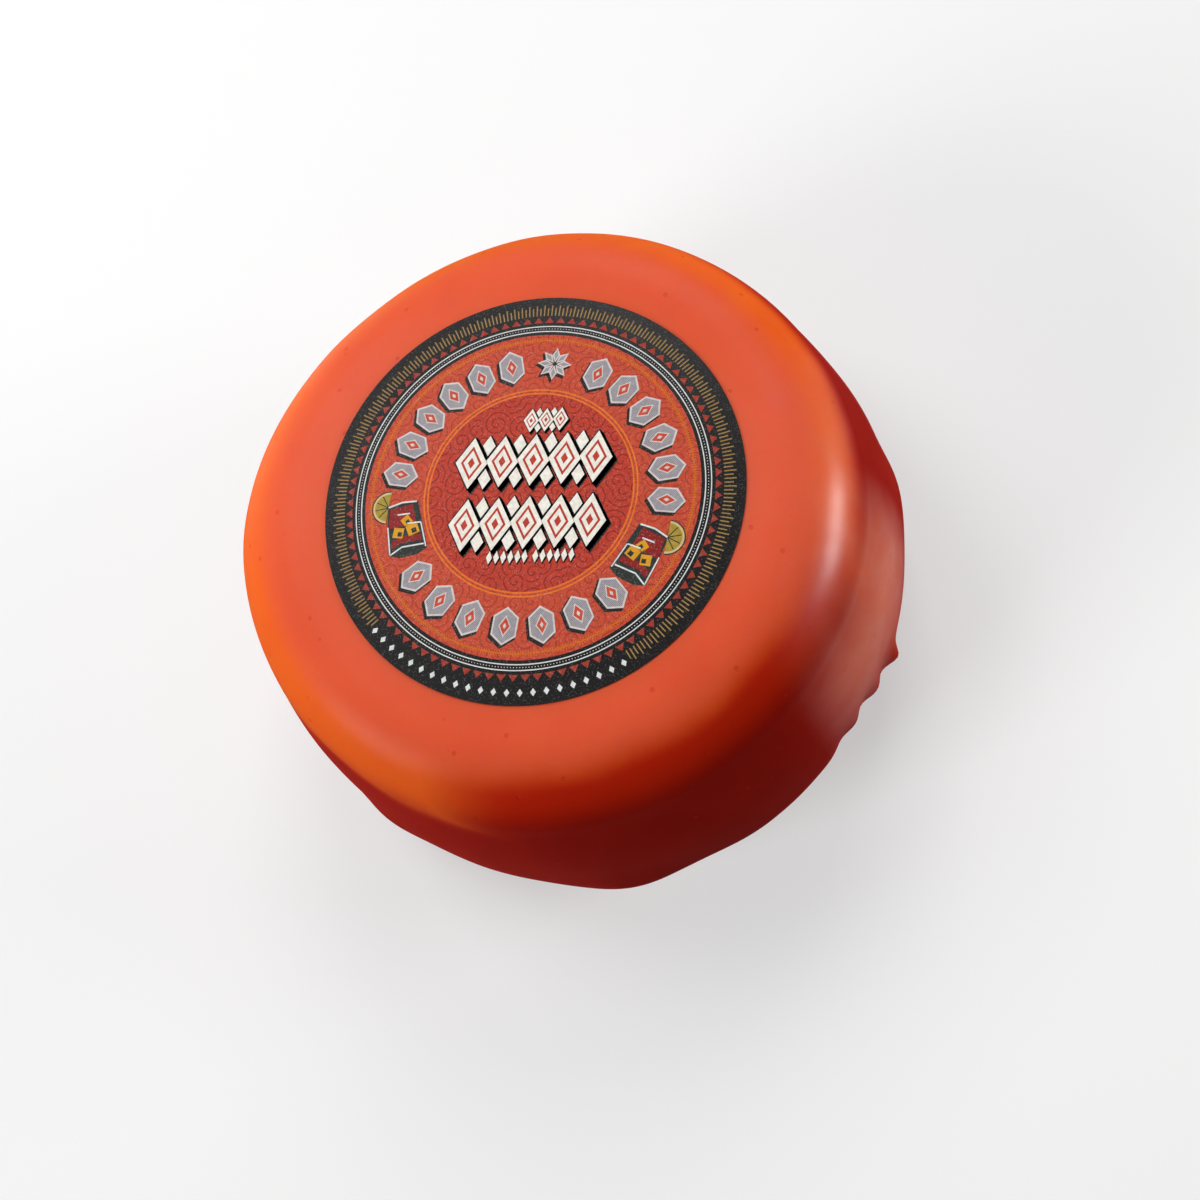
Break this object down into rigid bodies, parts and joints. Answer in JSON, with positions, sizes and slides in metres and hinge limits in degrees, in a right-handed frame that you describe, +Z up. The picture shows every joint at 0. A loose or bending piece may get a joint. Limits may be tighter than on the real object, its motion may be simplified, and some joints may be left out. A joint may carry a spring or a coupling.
{
  "type": "waxed cheddar truckle",
  "caption": "Small round cheddar truckle dipped in orange wax, uncut, with a round printed paper label on its flat top.",
  "frame": {"origin": "middle of the underside, on the surface that the cheese stands on", "axes": "+Z up through the cheese; +Y is the way the label's print reads up, so its print runs left to right along +X"},
  "size_m": [0.086, 0.0853, 0.0374],
  "materials": {
    "orange_wax": "satin wax",
    "label_paper": "semi-matt printed paper"
  },
  "bodies": {
    "root": {"waxed_truckle": "orange_wax", "label": "label_paper"}
  },
  "joints": []
}
